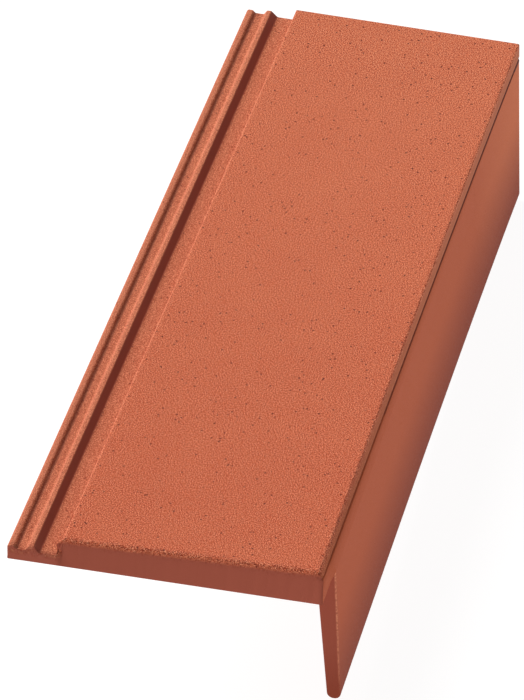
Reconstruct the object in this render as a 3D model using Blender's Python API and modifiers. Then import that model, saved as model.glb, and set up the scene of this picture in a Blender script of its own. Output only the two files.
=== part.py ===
"""Half verge tile.

A flat interlocking concrete roof tile, cut to half width, whose verge side turns down into a lap that
covers the ends of the battens. The tile is one casting. It lies level, with its top face up, its nose
(the lower edge on the roof) towards -Y, its head towards +Y and its lap on the +X side. The origin is
where the tile sits on its batten: on the underside, just below the two hanging nibs.

Shapes are laid out in tile coordinates first: x from the interlock's outer edge, y from the nose,
z from the top face. The finished tile is then moved so that the batten seat is at the origin.
"""

import math

import bmesh
import bpy

MM = 0.001

# Slab
LENGTH = 420.0 * MM
THICKNESS = 11.5 * MM
WIDTH_AT_HEAD = 133.5 * MM
WIDTH_AT_NOSE = 140.0 * MM
FLARE_POWER = 1.3
ARRIS_RADIUS = 0.8 * MM
FOOT_RADIUS = 0.5 * MM

# Interlock: two weather bars and a water channel along the left side
INTERLOCK_WIDTH = 24.2 * MM
OUTER_BAR_WIDTH = 3.0 * MM
OUTER_BAR_DROP = 4.0 * MM
BAR_FLANK = 1.2 * MM
VALLEY_WIDTH = 4.2 * MM
VALLEY_DROP = 5.4 * MM
INNER_BAR_WIDTH = 2.2 * MM
INNER_BAR_DROP = 2.9 * MM
INNER_BAR_OUTER_FLANK = 1.5 * MM
INNER_BAR_INNER_FLANK = 3.0 * MM
CHANNEL_DROP = 5.9 * MM
CHANNEL_WALL_RUN = 0.4 * MM
BAR_RADIUS = 0.7 * MM
CHANNEL_RADIUS = 0.5 * MM
WALL_TOP_RADIUS = 0.5 * MM

# Verge side: a bare band under the top arris, which narrows and turns into a slope towards the nose,
# a groove, then the outer face of the lap
BAND_HEIGHT_AT_HEAD = 8.4 * MM
BAND_HEIGHT_AT_NOSE = 2.4 * MM
BAND_RUN_AT_NOSE = 2.5 * MM
GROOVE_WIDTH = 0.9 * MM
GROOVE_DEPTH = 0.7 * MM

# Lap
LAP_DEPTH_AT_HEAD = 91.0 * MM
LAP_DEPTH_AT_NOSE = 84.5 * MM
LAP_ROOT_THICKNESS = 8.6 * MM
LAP_TIP_THICKNESS = 6.4 * MM
LAP_SHOULDER_RUN_AT_NOSE = 2.8 * MM
LAP_ROOT_RUN_AT_NOSE = 3.9 * MM
LAP_TIP_RUN_AT_HEAD = 1.5 * MM
LAP_TIP_RUN_AT_NOSE = 7.4 * MM
LAP_SETBACK = 27.5 * MM
LAP_FILLET = 5.0 * MM
# The tip is all but half round: a little under half its thickness leaves a narrow flat below
TIP_ROUNDING = 0.48

# Nose: cut a little out of square, so that it falls back towards the verge, and above an upright lip
# its face leans back, more so towards the verge
NOSE_SKEW = 3.4 * MM
NOSE_LIP = 1.2 * MM
NOSE_LEAN_AT_INTERLOCK = 5.0 * MM
NOSE_LEAN_AT_VERGE = 8.6 * MM
NOSE_RADIUS = 2.0 * MM

# Underside: two hanging nibs by the head, two low foot ribs by the nose
NIB_WIDTH = 26.0 * MM
NIB_LENGTH = 16.0 * MM
NIB_DEPTH = 14.0 * MM
NIB_TAPER = 1.5 * MM
NIB_EDGE_RADIUS = 1.5 * MM
NIB_TO_HEAD = 12.0 * MM
NIB_TO_INTERLOCK = 3.0 * MM
NIB_TO_LAP = 10.6 * MM
FOOT_RIB_WIDTH = 5.0 * MM
FOOT_RIB_DEPTH = 3.0 * MM
FOOT_RIB_TO_NOSE = 34.0 * MM
FOOT_RIB_PITCH = 16.0 * MM
FOOT_RIB_COUNT = 2
FOOT_RIB_EDGE_RADIUS = 0.8 * MM

# Batten that the tile hangs on
BATTEN_WIDTH = 38.0 * MM

# How far a cutter reaches past the tile, and how far a joined form sinks into it
OVERCUT = 4.0 * MM
EMBED = 3.0 * MM

# The nose's cutter runs this far in front of the nose and over the top face, and climbs off that face
# by the rise, so that it touches it only where it rounds the arris
NOSE_CUTTER_REACH = 8.0 * MM
NOSE_CUTTER_RISE = 1.0 * MM

# Fineness of the mesh
ARC_STEPS = 3
EDGE_STEPS = 2
TIP_STEPS = 6
STATIONS = 15
NOSE_STRIPS = 8

# Places worked out from the sizes above
NIB_FACE_Y = LENGTH - NIB_TO_HEAD - NIB_LENGTH
LEFT_NIB_X = INTERLOCK_WIDTH + NIB_TO_INTERLOCK + 0.5 * NIB_WIDTH
RIGHT_NIB_X = WIDTH_AT_HEAD - LAP_ROOT_THICKNESS - NIB_TO_LAP - 0.5 * NIB_WIDTH
SEAT_X = 0.5 * (LEFT_NIB_X + RIGHT_NIB_X)
SEAT_Y = NIB_FACE_Y - 0.5 * BATTEN_WIDTH

CONCRETE_COLOUR = (0.62, 0.16, 0.08, 1.0)
CONCRETE_ROUGHNESS = 0.85


def clear_scene():
    """Remove every object of the opened scene."""
    for thing in list(bpy.data.objects):
        bpy.data.objects.remove(thing, do_unlink=True)


def new_collection(name):
    """Make a collection under the scene's own."""
    collection = bpy.data.collections.new(name)
    bpy.context.scene.collection.children.link(collection)
    return collection


def concrete():
    """Through-coloured concrete, dull and slightly sandy."""
    material = bpy.data.materials.new("through_coloured_concrete")
    material.use_nodes = True
    shader = material.node_tree.nodes["Principled BSDF"]
    shader.inputs["Base Color"].default_value = CONCRETE_COLOUR
    shader.inputs["Roughness"].default_value = CONCRETE_ROUGHNESS
    shader.inputs["Metallic"].default_value = 0.0
    return material


def between(first, last, share):
    """Value a share of the way from the first to the last."""
    return first + (last - first) * share


def flare(y):
    """How much of the verge's flare is reached at y: none at the head, all of it at the nose."""
    return (1.0 - y / LENGTH) ** FLARE_POWER


def rounded(corners):
    """Turn (x, z, radius, steps) corners of a closed outline into points, with each corner an arc."""
    points = []
    count = len(corners)
    for index, (x, z, radius, steps) in enumerate(corners):
        if steps == 0:
            points.append((x, z))
            continue
        before = corners[index - 1]
        after = corners[(index + 1) % count]
        to_before = math.atan2(before[1] - z, before[0] - x)
        to_after = math.atan2(after[1] - z, after[0] - x)
        turn = (to_after - to_before + math.pi) % (2.0 * math.pi) - math.pi
        half = abs(turn) / 2.0
        middle = to_before + turn / 2.0
        centre_x = x + math.cos(middle) * radius / math.sin(half)
        centre_z = z + math.sin(middle) * radius / math.sin(half)
        side = 1.0 if turn > 0.0 else -1.0
        start = to_before - side * math.pi / 2.0
        sweep = -side * (math.pi - 2.0 * half)
        for step in range(steps + 1):
            angle = start + sweep * step / steps
            points.append((centre_x + radius * math.cos(angle), centre_z + radius * math.sin(angle)))
    return points


def interlock_corners():
    """Top outline of the interlock, from the slab's outer edge to the wall of the channel."""
    valley_left = OUTER_BAR_WIDTH + BAR_FLANK
    valley_right = valley_left + VALLEY_WIDTH
    bar_left = valley_right + INNER_BAR_OUTER_FLANK
    bar_right = bar_left + INNER_BAR_WIDTH
    channel_left = bar_right + INNER_BAR_INNER_FLANK
    wall_foot = INTERLOCK_WIDTH - CHANNEL_WALL_RUN
    return [
        (0.0, -OUTER_BAR_DROP, BAR_RADIUS, ARC_STEPS),
        (OUTER_BAR_WIDTH, -OUTER_BAR_DROP, BAR_RADIUS, ARC_STEPS),
        (valley_left, -VALLEY_DROP, CHANNEL_RADIUS, ARC_STEPS),
        (valley_right, -VALLEY_DROP, CHANNEL_RADIUS, ARC_STEPS),
        (bar_left, -INNER_BAR_DROP, BAR_RADIUS, ARC_STEPS),
        (bar_right, -INNER_BAR_DROP, BAR_RADIUS, ARC_STEPS),
        (channel_left, -CHANNEL_DROP, CHANNEL_RADIUS, ARC_STEPS),
        (wall_foot, -CHANNEL_DROP, CHANNEL_RADIUS, ARC_STEPS),
        (INTERLOCK_WIDTH, 0.0, WALL_TOP_RADIUS, ARC_STEPS),
    ]


def verge_corners(share):
    """Outline of the verge side, from the top arris round the lap to the slab's underside."""
    arris = between(WIDTH_AT_HEAD, WIDTH_AT_NOSE, share)
    band_foot = arris + BAND_RUN_AT_NOSE * share
    shoulder = arris + LAP_SHOULDER_RUN_AT_NOSE * share
    root = arris + LAP_ROOT_RUN_AT_NOSE * share
    tip = arris + between(LAP_TIP_RUN_AT_HEAD, LAP_TIP_RUN_AT_NOSE, share)
    depth = between(LAP_DEPTH_AT_HEAD, LAP_DEPTH_AT_NOSE, share)
    band_height = between(BAND_HEIGHT_AT_HEAD, BAND_HEIGHT_AT_NOSE, share)
    tip_radius = TIP_ROUNDING * LAP_TIP_THICKNESS
    return [
        (arris, 0.0, ARRIS_RADIUS, ARC_STEPS),
        (band_foot, -band_height + 0.5 * GROOVE_WIDTH, 0.0, 0),
        (band_foot - GROOVE_DEPTH, -band_height, 0.0, 0),
        (shoulder, -band_height - 0.5 * GROOVE_WIDTH, 0.0, 0),
        (root, -THICKNESS, 0.0, 0),
        (tip, -depth, tip_radius, TIP_STEPS),
        (tip - LAP_TIP_THICKNESS, -depth, tip_radius, TIP_STEPS),
        (root - LAP_ROOT_THICKNESS, -THICKNESS, LAP_FILLET, ARC_STEPS),
    ]


def nose_setback(x):
    """How far the nose's lip lies behind the interlock's front corner, across the tile."""
    return NOSE_SKEW * x / WIDTH_AT_NOSE


def tile_section(y):
    """Closed outline across the tile at y, as (x, z) points."""
    foot = [(0.0, -THICKNESS, FOOT_RADIUS, ARC_STEPS)]
    return rounded(foot + interlock_corners() + verge_corners(flare(y)))


def loft(name, rings):
    """Skin a row of equal rings of points into one closed mesh."""
    mesh = bpy.data.meshes.new(name)
    work = bmesh.new()
    rows = [[work.verts.new(point) for point in ring] for ring in rings]
    count = len(rows[0])
    for near, far in zip(rows, rows[1:]):
        for index in range(count):
            following = (index + 1) % count
            work.faces.new((near[index], near[following], far[following], far[index]))
    work.faces.new(rows[0])
    work.faces.new(rows[-1])
    bmesh.ops.recalc_face_normals(work, faces=work.faces)
    work.to_mesh(mesh)
    work.free()
    return mesh


def tile_mesh():
    """The slab with its interlock and lap, from skewed nose to square head, before the nose is cut."""
    rings = []
    for station in range(STATIONS):
        y = LENGTH * station / (STATIONS - 1)
        to_head = 1.0 - y / LENGTH
        rings.append([(x, y + nose_setback(x) * to_head, z) for x, z in tile_section(y)])
    return loft("half_verge_tile", rings)


def nose_cutter_section(lean):
    """Outline of the nose's cutter where the face leans back by this much, as (y, z) points."""
    lip = NOSE_LIP - THICKNESS
    foot = OVERCUT * lean / lip
    return rounded([
        (-NOSE_CUTTER_REACH, lip - OVERCUT, 0.0, 0),
        (-NOSE_CUTTER_REACH, OVERCUT, 0.0, 0),
        (lean + NOSE_CUTTER_REACH, OVERCUT, 0.0, 0),
        (lean + NOSE_CUTTER_REACH, NOSE_CUTTER_RISE, 0.0, 0),
        (lean, 0.0, NOSE_RADIUS, ARC_STEPS),
        (foot, lip - OVERCUT, 0.0, 0),
    ])


def nose_cutter_mesh():
    """Cutter that leans the nose's face back, from the foot of the channel's wall past the verge."""
    first = INTERLOCK_WIDTH - CHANNEL_WALL_RUN - 2.0 * CHANNEL_RADIUS
    last = WIDTH_AT_NOSE + LAP_TIP_RUN_AT_NOSE + OVERCUT
    rings = []
    for strip in range(NOSE_STRIPS + 1):
        share = strip / NOSE_STRIPS
        x = between(first, last, share)
        lean = between(NOSE_LEAN_AT_INTERLOCK, NOSE_LEAN_AT_VERGE, share)
        rings.append([(x, y + nose_setback(x), z) for y, z in nose_cutter_section(lean)])
    return loft("nose_cutter", rings)


def block(name, low, high, collection, edge_radius=0.0, taper=0.0):
    """Box between two corners, its foot drawn in by the taper and its edges rounded."""
    mesh = bpy.data.meshes.new(name)
    work = bmesh.new()
    bmesh.ops.create_cube(work, size=1.0)
    for vert in work.verts:
        corner = [low[axis] if vert.co[axis] < 0.0 else high[axis] for axis in range(3)]
        if vert.co.z < 0.0 and taper > 0.0:
            corner[0] += taper if vert.co.x < 0.0 else -taper
            corner[1] -= taper if vert.co.y > 0.0 else 0.0
        vert.co = corner
    work.to_mesh(mesh)
    work.free()
    thing = bpy.data.objects.new(name, mesh)
    collection.objects.link(thing)
    if edge_radius > 0.0:
        bevel = thing.modifiers.new("edges", "BEVEL")
        bevel.width = edge_radius
        bevel.segments = EDGE_STEPS
    return thing


def as_tool(thing):
    """Keep a cutter or an added form out of renders, and draw it as wire."""
    thing.hide_render = True
    thing.display_type = "WIRE"


def lap_front_cutter(collection):
    """Box that takes the lap's front end and its fillet back from the nose, below the slab."""
    fillet_foot = WIDTH_AT_HEAD - LAP_ROOT_THICKNESS - LAP_FILLET
    low = (fillet_foot - OVERCUT, -OVERCUT, -LAP_DEPTH_AT_HEAD - OVERCUT)
    high = (WIDTH_AT_NOSE + LAP_TIP_RUN_AT_NOSE + OVERCUT, LAP_SETBACK, -THICKNESS)
    return block("lap_front_cutter", low, high, collection)


def hanging_nib(name, centre_x, collection):
    """Nib that hooks over the batten, square on the batten's side and tapered on the others."""
    low = (centre_x - 0.5 * NIB_WIDTH, NIB_FACE_Y, -THICKNESS - NIB_DEPTH)
    high = (centre_x + 0.5 * NIB_WIDTH, NIB_FACE_Y + NIB_LENGTH, -THICKNESS + EMBED)
    return block(name, low, high, collection, NIB_EDGE_RADIUS, NIB_TAPER)


def foot_rib(name, start_y, collection):
    """Low rib across the underside, as wide as the nibs are apart, which rests on the tile below."""
    left = LEFT_NIB_X - 0.5 * NIB_WIDTH
    right = RIGHT_NIB_X + 0.5 * NIB_WIDTH
    low = (left, start_y, -THICKNESS - FOOT_RIB_DEPTH)
    high = (right, start_y + FOOT_RIB_WIDTH, -THICKNESS + EMBED)
    return block(name, low, high, collection, FOOT_RIB_EDGE_RADIUS)


def apply_boolean(tile, other, operation):
    """Join a form to the tile or cut it away, as a modifier of the tile."""
    as_tool(other)
    modifier = tile.modifiers.new(other.name, "BOOLEAN")
    modifier.object = other
    modifier.operation = operation
    modifier.solver = "EXACT"


def build():
    """Build the tile and move its batten seat to the origin."""
    clear_scene()
    parts = new_collection("half_verge_tile")
    tools = new_collection("cutters")

    tile = bpy.data.objects.new("half_verge_tile", tile_mesh())
    parts.objects.link(tile)
    tile.data.materials.append(concrete())

    nose_cutter = bpy.data.objects.new("nose_cutter", nose_cutter_mesh())
    tools.objects.link(nose_cutter)
    apply_boolean(tile, lap_front_cutter(tools), "DIFFERENCE")
    apply_boolean(tile, nose_cutter, "DIFFERENCE")

    apply_boolean(tile, hanging_nib("left_nib", LEFT_NIB_X, tools), "UNION")
    apply_boolean(tile, hanging_nib("right_nib", RIGHT_NIB_X, tools), "UNION")
    for index in range(FOOT_RIB_COUNT):
        start_y = FOOT_RIB_TO_NOSE + index * FOOT_RIB_PITCH
        apply_boolean(tile, foot_rib(f"foot_rib_{index + 1}", start_y, tools), "UNION")

    seat = bpy.data.objects.new("batten_seat", None)
    parts.objects.link(seat)
    for thing in list(parts.objects) + list(tools.objects):
        if thing is not seat:
            thing.parent = seat
    seat.location = (-SEAT_X, -SEAT_Y, THICKNESS)


build()
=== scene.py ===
"""Half verge tile in through-coloured concrete, in a small studio.

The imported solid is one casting, and one finely meshed casting of the same form stands in for it here. It
adds what the solid leaves out: the torn concrete along the nose and the verge, the burr that hangs over
the water channel, rounder bars and a softer groove, the slight swell of the lap behind its front, the
grain and pits of the weather face, and the smoother moulded face of the lap.

Forms are laid out in millimetres in tile coordinates: x from the interlock's outer edge, y from the
nose, z from the weather face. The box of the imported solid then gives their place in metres.
"""

from __future__ import annotations

import logging
import math
from dataclasses import dataclass, field
from enum import Enum

import bmesh
import bpy
import numpy as np
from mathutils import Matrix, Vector, noise

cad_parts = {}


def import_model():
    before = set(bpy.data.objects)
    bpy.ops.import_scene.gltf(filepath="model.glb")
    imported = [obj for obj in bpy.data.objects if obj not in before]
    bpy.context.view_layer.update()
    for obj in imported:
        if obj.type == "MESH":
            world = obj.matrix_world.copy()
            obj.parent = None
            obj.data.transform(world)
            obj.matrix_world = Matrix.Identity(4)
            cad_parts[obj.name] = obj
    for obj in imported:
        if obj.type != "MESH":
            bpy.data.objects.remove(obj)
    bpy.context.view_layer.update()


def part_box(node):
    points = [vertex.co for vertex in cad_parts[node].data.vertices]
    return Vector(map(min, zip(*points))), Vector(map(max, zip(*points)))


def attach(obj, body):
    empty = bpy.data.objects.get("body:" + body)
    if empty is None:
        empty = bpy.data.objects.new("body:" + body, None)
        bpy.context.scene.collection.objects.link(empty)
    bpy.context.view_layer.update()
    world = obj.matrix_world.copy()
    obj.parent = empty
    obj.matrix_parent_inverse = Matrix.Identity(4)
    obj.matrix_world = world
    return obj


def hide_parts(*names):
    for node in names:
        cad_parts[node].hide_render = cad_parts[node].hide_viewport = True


LOG = logging.getLogger("half_verge_tile")
MM = 0.001
NODE = "half_verge_tile"
BODY = "root"

# Numbers of three corners along the top outline, and the middle step of their arcs
OUTER_BAR_CORNER = 2
WALL_TOP_CORNER = 10
VERGE_ARRIS_CORNER = 11
ARC_MIDDLE = 2

# Sockets of a node that mixes two colours
MIX_SHARE = 0
MIX_UNDER = 6
MIX_OVER = 7
MIX_RESULT = 2

Values = np.ndarray | float
Sockets = dict[str, bpy.types.NodeSocket]


class Mask(Enum):
    """What a point attribute of the casting says of its surface, from 0 to 1."""

    TORN = "torn"
    # Cut faces, and painted shade on the inner bar's flank
    CUT = "cut"
    MOULDED = "moulded"
    # Painted shade on the lap, darker towards its foot and on its front
    PAINTED_FOOT_SHADE = "painted_foot_shade"
    # Painted shade in the groove, in the valley's corner and on the inner bar's flank
    SEAM = "painted_shade"
    # Painted highlight on the lap's front arris, the channel wall's top and the bars' crests
    PAINTED_HIGHLIGHT = "painted_highlight"
    STRUCK = "struck"
    SLID = "slid"


class Blend(Enum):
    """How a mapped range runs from its start to its end."""

    STRAIGHT = "LINEAR"
    SOFT = "SMOOTHSTEP"


MaskSockets = dict[Mask, bpy.types.NodeSocket]


def linear(hex_colour: str) -> tuple[float, float, float, float]:
    """Turn an sRGB hex colour into linear red, green, blue and alpha.

    Args:
        hex_colour: Six hex digits with a leading hash.

    Returns:
        The linear colour, with an alpha of 1.
    """
    channels = [int(hex_colour[place:place + 2], 16) / 255.0 for place in (1, 3, 5)]
    low, offset, slope, power = 0.04045, 0.055, 12.92, 2.4
    lit = [c / slope if c <= low else ((c + offset) / (1.0 + offset)) ** power for c in channels]
    return (lit[0], lit[1], lit[2], 1.0)


def add_node(
    tree: bpy.types.NodeTree,
    kind: str,
    settings: dict[str | int, object] | None = None,
    links: dict[str | int, bpy.types.NodeSocket] | None = None,
) -> bpy.types.Node:
    """Add a node to a tree, set it and link its inputs.

    Args:
        tree: The tree that gets the node.
        kind: The node's type name.
        settings: Values by property name, or by input name or number.
        links: Output sockets by the input's name or number.

    Returns:
        The new node.
    """
    node = tree.nodes.new(kind)
    for key, value in (settings or {}).items():
        if isinstance(key, str) and hasattr(node, key):
            setattr(node, key, value)
        else:
            node.inputs[key].default_value = value
    for key, socket in (links or {}).items():
        tree.links.new(socket, node.inputs[key])
    return node


def between(first: Values, last: Values, share: Values) -> Values:
    """Value a share of the way from the first to the last."""
    return first + (last - first) * share


def smooth_step(low: float, high: float, value: Values) -> Values:
    """Rise smoothly from 0 at the low value to 1 at the high one."""
    share = np.clip((value - low) / (high - low), 0.0, 1.0)
    return share * share * (3.0 - 2.0 * share)


def standing_at(flat: np.ndarray, y: Values) -> np.ndarray:
    """Turn (x, z) points of an outline into (x, y, z) rows."""
    return np.column_stack([flat[:, 0], np.broadcast_to(y, len(flat)), flat[:, 1]])


@dataclass(frozen=True)
class Lumps:
    """Lumps of torn concrete: their size along x, y and z in millimetres, and a shift to tell them apart."""

    size: tuple[float, float, float]
    shift: float
    middle: float = 0.5
    swing: float = 0.8

    def at(self, points: np.ndarray) -> np.ndarray:
        """Height of the lumps at each point, mostly from 0 to 1."""
        scaled = points / np.array(self.size) + self.shift
        return self.middle + self.swing * np.array([noise.noise(Vector(point)) for point in scaled])


@dataclass(frozen=True)
class Grain:
    """A noise texture: its grain in millimetres, its finer layers, and how strong they are."""

    size_mm: float
    detail: float
    roughness: float


@dataclass(frozen=True)
class Span:
    """A range of values, and the range that it is mapped to."""

    start: float
    end: float
    low: float = 0.0
    high: float = 1.0
    blend: Blend = Blend.STRAIGHT

    def settings(self) -> dict[str, object]:
        """Settings of the node that maps the range."""
        names = ("interpolation_type", "From Min", "From Max", "To Min", "To Max")
        return dict(zip(names, (self.blend.value, self.start, self.end, self.low, self.high)))


@dataclass(frozen=True)
class Corner:
    """A corner of an outline: its place, its rounding, and the steps along the run to the next corner."""

    x: float
    z: float
    radius: float = 0.0
    arc_steps: int = 0
    run_steps: int = 1


def arc_points(before: Corner, corner: Corner, after: Corner) -> list[tuple[float, float]]:
    """Points of a rounded corner, tangent to the runs on both sides of it.

    Args:
        before: The corner ahead of it.
        corner: The corner to round.
        after: The corner behind it.

    Returns:
        The arc's points, or the corner itself where it is sharp.
    """
    if corner.radius == 0.0:
        return [(corner.x, corner.z)]
    to_before = math.atan2(before.z - corner.z, before.x - corner.x)
    to_after = math.atan2(after.z - corner.z, after.x - corner.x)
    turn = (to_after - to_before + math.pi) % (2.0 * math.pi) - math.pi
    half = abs(turn) / 2.0
    middle = to_before + turn / 2.0
    centre_x = corner.x + math.cos(middle) * corner.radius / math.sin(half)
    centre_z = corner.z + math.sin(middle) * corner.radius / math.sin(half)
    side = 1.0 if turn > 0.0 else -1.0
    start = to_before - side * math.pi / 2.0
    sweep = -side * (math.pi - 2.0 * half)
    angles = [start + sweep * step / corner.arc_steps for step in range(corner.arc_steps + 1)]
    return [
        (centre_x + corner.radius * math.cos(angle), centre_z + corner.radius * math.sin(angle))
        for angle in angles
    ]


@dataclass(frozen=True)
class Outline:
    """An open outline across the tile: its (x, z) points, and where each corner's arc starts."""

    points: np.ndarray
    starts: list[int]

    @classmethod
    def through(cls, corners: list[Corner]) -> Outline:
        """Trace an outline through its corners.

        Args:
            corners: The corners in order. The first and the last are plain ends.

        Returns:
            The outline, with as many points as any other whose corners have the same steps.
        """
        arcs = [[(corners[0].x, corners[0].z)]]
        for before, corner, after in zip(corners, corners[1:], corners[2:]):
            arcs.append(arc_points(before, corner, after))
        arcs.append([(corners[-1].x, corners[-1].z)])
        points: list[tuple[float, float]] = []
        starts = []
        for corner, arc, following in zip(corners, arcs, arcs[1:]):
            starts.append(len(points))
            points.extend(arc)
            for step in range(1, corner.run_steps):
                share = step / corner.run_steps
                points.append(
                    (between(arc[-1][0], following[0][0], share), between(arc[-1][1], following[0][1], share))
                )
        starts.append(len(points))
        points.extend(arcs[-1])
        return cls(np.array(points), starts)

    def normals(self) -> np.ndarray:
        """Unit normals to the left of the outline's run, as (x, 0, z) rows."""
        ahead = np.vstack([self.points[1:], self.points[-1:]])
        behind = np.vstack([self.points[:1], self.points[:-1]])
        tangent = ahead - behind
        tangent /= np.linalg.norm(tangent, axis=1, keepdims=True)
        return np.column_stack([-tangent[:, 1], np.zeros(len(tangent)), tangent[:, 0]])


def roll_edge(
    edge: np.ndarray, sides: np.ndarray, fronts: np.ndarray, radii: np.ndarray, steps: int
) -> np.ndarray:
    """Round the edge between two surfaces as a rolling ball does.

    Args:
        edge: Points of the sharp edge.
        sides: Outward normals of the surface that runs along the tile.
        fronts: Outward normals of the surface that crosses the tile.
        radii: The ball's radius at each point.
        steps: Steps of the rounding.

    Returns:
        Rows of points, from the crossing surface to the running one.
    """
    cosine = np.sum(sides * fronts, axis=1, keepdims=True)
    centre = edge - radii[:, None] * (sides + fronts) / (1.0 + cosine)
    rows = []
    for step in range(steps + 1):
        angle = 0.5 * math.pi * step / steps
        direction = fronts * math.cos(angle) + sides * math.sin(angle)
        direction /= np.linalg.norm(direction, axis=1, keepdims=True)
        rows.append(centre + radii[:, None] * direction)
    return np.array(rows)


class Patchwork:
    """A closed skin sewn from grids that share their border vertices."""

    def __init__(self) -> None:
        """Start with no vertex and no face."""
        self.rows: list[np.ndarray] = []
        self.count = 0
        self.faces: list[tuple[int, ...]] = []

    def add(self, points: np.ndarray) -> np.ndarray:
        """Add vertices.

        Args:
            points: An array whose last axis is x, y, z.

        Returns:
            The new vertices' numbers, in the same arrangement.
        """
        flat = points.reshape(-1, 3)
        numbers = np.arange(self.count, self.count + len(flat)).reshape(points.shape[:-1])
        self.rows.append(flat)
        self.count += len(flat)
        return numbers

    def places(self) -> np.ndarray:
        """Every vertex added so far, in order."""
        self.rows = [np.vstack(self.rows)]
        return self.rows[0]

    def add_face(self, corners: tuple[int, ...]) -> None:
        """Add a face, without the corners that it names twice in a row."""
        kept = [int(n) for n, following in zip(corners, corners[1:] + corners[:1]) if n != following]
        if len(kept) > 2:
            self.faces.append(tuple(kept))

    def weave(self, numbers: np.ndarray) -> None:
        """Fill a grid of vertex numbers with faces."""
        for near, far in zip(numbers, numbers[1:]):
            for face in zip(near[:-1], near[1:], far[1:], far[:-1]):
                self.add_face(face)

    def stitch(self, near: np.ndarray, far: np.ndarray, near_at: np.ndarray, far_at: np.ndarray) -> None:
        """Join two rows of unlike length with triangles.

        Args:
            near: Vertex numbers of the first row.
            far: Vertex numbers of the second row, running the same way.
            near_at: How far along the rows each vertex of the first row lies, rising.
            far_at: The same for the second row.
        """
        here, there = 0, 0
        while here < len(near) - 1 or there < len(far) - 1:
            next_here = near_at[here + 1] if here < len(near) - 1 else math.inf
            next_there = far_at[there + 1] if there < len(far) - 1 else math.inf
            if next_here <= next_there:
                self.add_face((near[here], near[here + 1], far[there]))
                here += 1
            else:
                self.add_face((near[here], far[there + 1], far[there]))
                there += 1


@dataclass(frozen=True)
class Interlock:
    """The two weather bars and the water channel along the left side, in millimetres."""

    width: float = 24.2
    outer_bar_width: float = 3.0
    outer_bar_drop: float = 4.0
    bar_flank: float = 1.2
    valley_width: float = 4.2
    valley_drop: float = 5.4
    inner_bar_width: float = 2.2
    inner_bar_drop: float = 2.9
    inner_bar_outer_flank: float = 1.5
    inner_bar_inner_flank: float = 3.0
    channel_drop: float = 5.9
    wall_run: float = 0.6
    bar_radius: float = 1.2
    valley_radius: float = 1.0
    channel_radius: float = 1.3
    wall_top_radius: float = 0.8
    foot_radius: float = 0.5

    @property
    def shaded_flank(self) -> tuple[float, float]:
        """Where the inner bar's flank starts and ends, down into the channel."""
        start = self.outer_bar_width + self.bar_flank + self.valley_width
        start += self.inner_bar_outer_flank + self.inner_bar_width
        return start, start + self.inner_bar_inner_flank

    def corners(self, thickness: float, top_steps: int) -> list[Corner]:
        """Corners from the slab's left foot, up the outer edge and over to the channel wall's top.

        Args:
            thickness: The slab's thickness.
            top_steps: Steps along the weather face beyond the wall.

        Returns:
            The corners in order.
        """
        valley_left = self.outer_bar_width + self.bar_flank
        valley_right = valley_left + self.valley_width
        bar_left = valley_right + self.inner_bar_outer_flank
        bar_right = bar_left + self.inner_bar_width
        channel_left = bar_right + self.inner_bar_inner_flank
        # A corner's last two numbers are the steps round it and the steps along the run behind it.
        return [
            Corner(2.0 * self.foot_radius, -thickness),
            Corner(0.0, -thickness, self.foot_radius, 3, 8),
            Corner(0.0, -self.outer_bar_drop, self.bar_radius, 4, 3),
            Corner(self.outer_bar_width, -self.outer_bar_drop, self.bar_radius, 4, 1),
            Corner(valley_left, -self.valley_drop, self.valley_radius, 3, 4),
            Corner(valley_right, -self.valley_drop, self.valley_radius, 3, 2),
            Corner(bar_left, -self.inner_bar_drop, self.bar_radius, 4, 2),
            Corner(bar_right, -self.inner_bar_drop, self.bar_radius, 4, 4),
            Corner(channel_left, -self.channel_drop, self.channel_radius, 3, 8),
            Corner(self.width - self.wall_run, -self.channel_drop, self.channel_radius, 3, 5),
            Corner(self.width, 0.0, self.wall_top_radius, 4, top_steps),
        ]


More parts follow.
